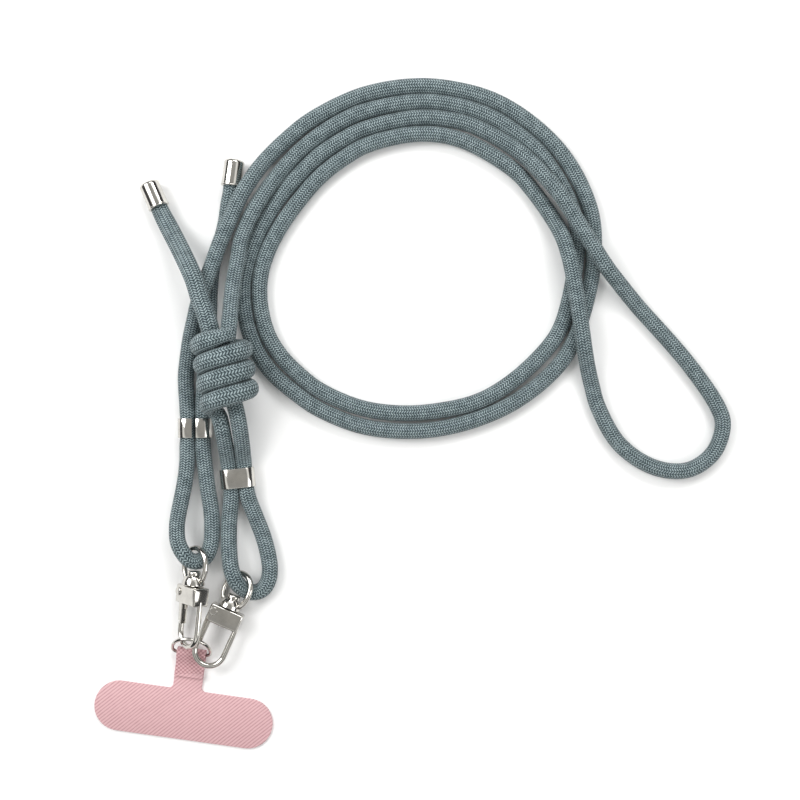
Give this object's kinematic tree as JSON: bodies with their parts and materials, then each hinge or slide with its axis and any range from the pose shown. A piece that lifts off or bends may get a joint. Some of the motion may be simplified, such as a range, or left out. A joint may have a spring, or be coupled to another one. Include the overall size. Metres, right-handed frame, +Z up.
{
  "type": "phone crossbody strap",
  "caption": "Long braided cord laid in a coil, with a wrapped sliding knot, metal end caps, band clips and swivel snap hooks on a ring that holds a flat phone-case tab.",
  "frame": {"origin": "middle of the underside of the tab's plate, on the table", "axes": "+Y from the tab towards the knot, +X towards the coil, +Z up off the table"},
  "size_m": [0.212, 0.2233, 0.0211],
  "materials": {
    "rope_braid": "round braided synthetic cord, grey-teal, dull with soft highlights",
    "polished_metal": "bright nickel plate, lightly marked",
    "tab_fabric": "thin pink sheet with a fine diagonal weave"
  },
  "bodies": {
    "strap": {"rope_loop_1": "rope_braid", "rope_coil": "rope_braid", "rope_loop_2": "rope_braid", "rope_tail_a": "rope_braid", "sliding_knot": "rope_braid", "end_cap_a": "polished_metal", "end_cap_b": "polished_metal", "rope_clip_1": "polished_metal", "rope_clip_2": "polished_metal", "swivel_bail_1": "polished_metal", "swivel_bail_2": "polished_metal", "d_ring": "polished_metal", "phone_tab": "tab_fabric"},
    "hook_1": {"snap_hook_1": "polished_metal"},
    "hook_2": {"snap_hook_2": "polished_metal"},
    "gate_1": {"hook_gate_1": "polished_metal"},
    "gate_2": {"hook_gate_2": "polished_metal"}
  },
  "joints": [
    {"name": "swivel_1", "type": "hinge", "parent": "strap", "child": "hook_1", "pos_m": [0.004, 0.041, 0.0069], "axis": [0.0941, 0.9956, 0], "range_deg": [-12, 8]},
    {"name": "swivel_2", "type": "hinge", "parent": "strap", "child": "hook_2", "pos_m": [0.0144, 0.0333, 0.0044], "axis": [0.4062, 0.9123, -0.0523], "range_deg": [-8, 6]},
    {"name": "gate_hinge_1", "type": "hinge", "parent": "hook_1", "child": "gate_1", "pos_m": [0.00134, 0.04195, 0.00385], "axis": [-0.7398, 0.0699, 0.6691], "range_deg": [0, 28], "stiffness_Nm_per_rad": 0.004, "springref_deg": -28.65},
    {"name": "gate_hinge_2", "type": "hinge", "parent": "hook_2", "child": "gate_2", "pos_m": [0.01094, 0.03561, 0.00436], "axis": [0.0213, 0.0478, 0.9986], "range_deg": [0, 28], "stiffness_Nm_per_rad": 0.004, "springref_deg": -28.65}
  ]
}
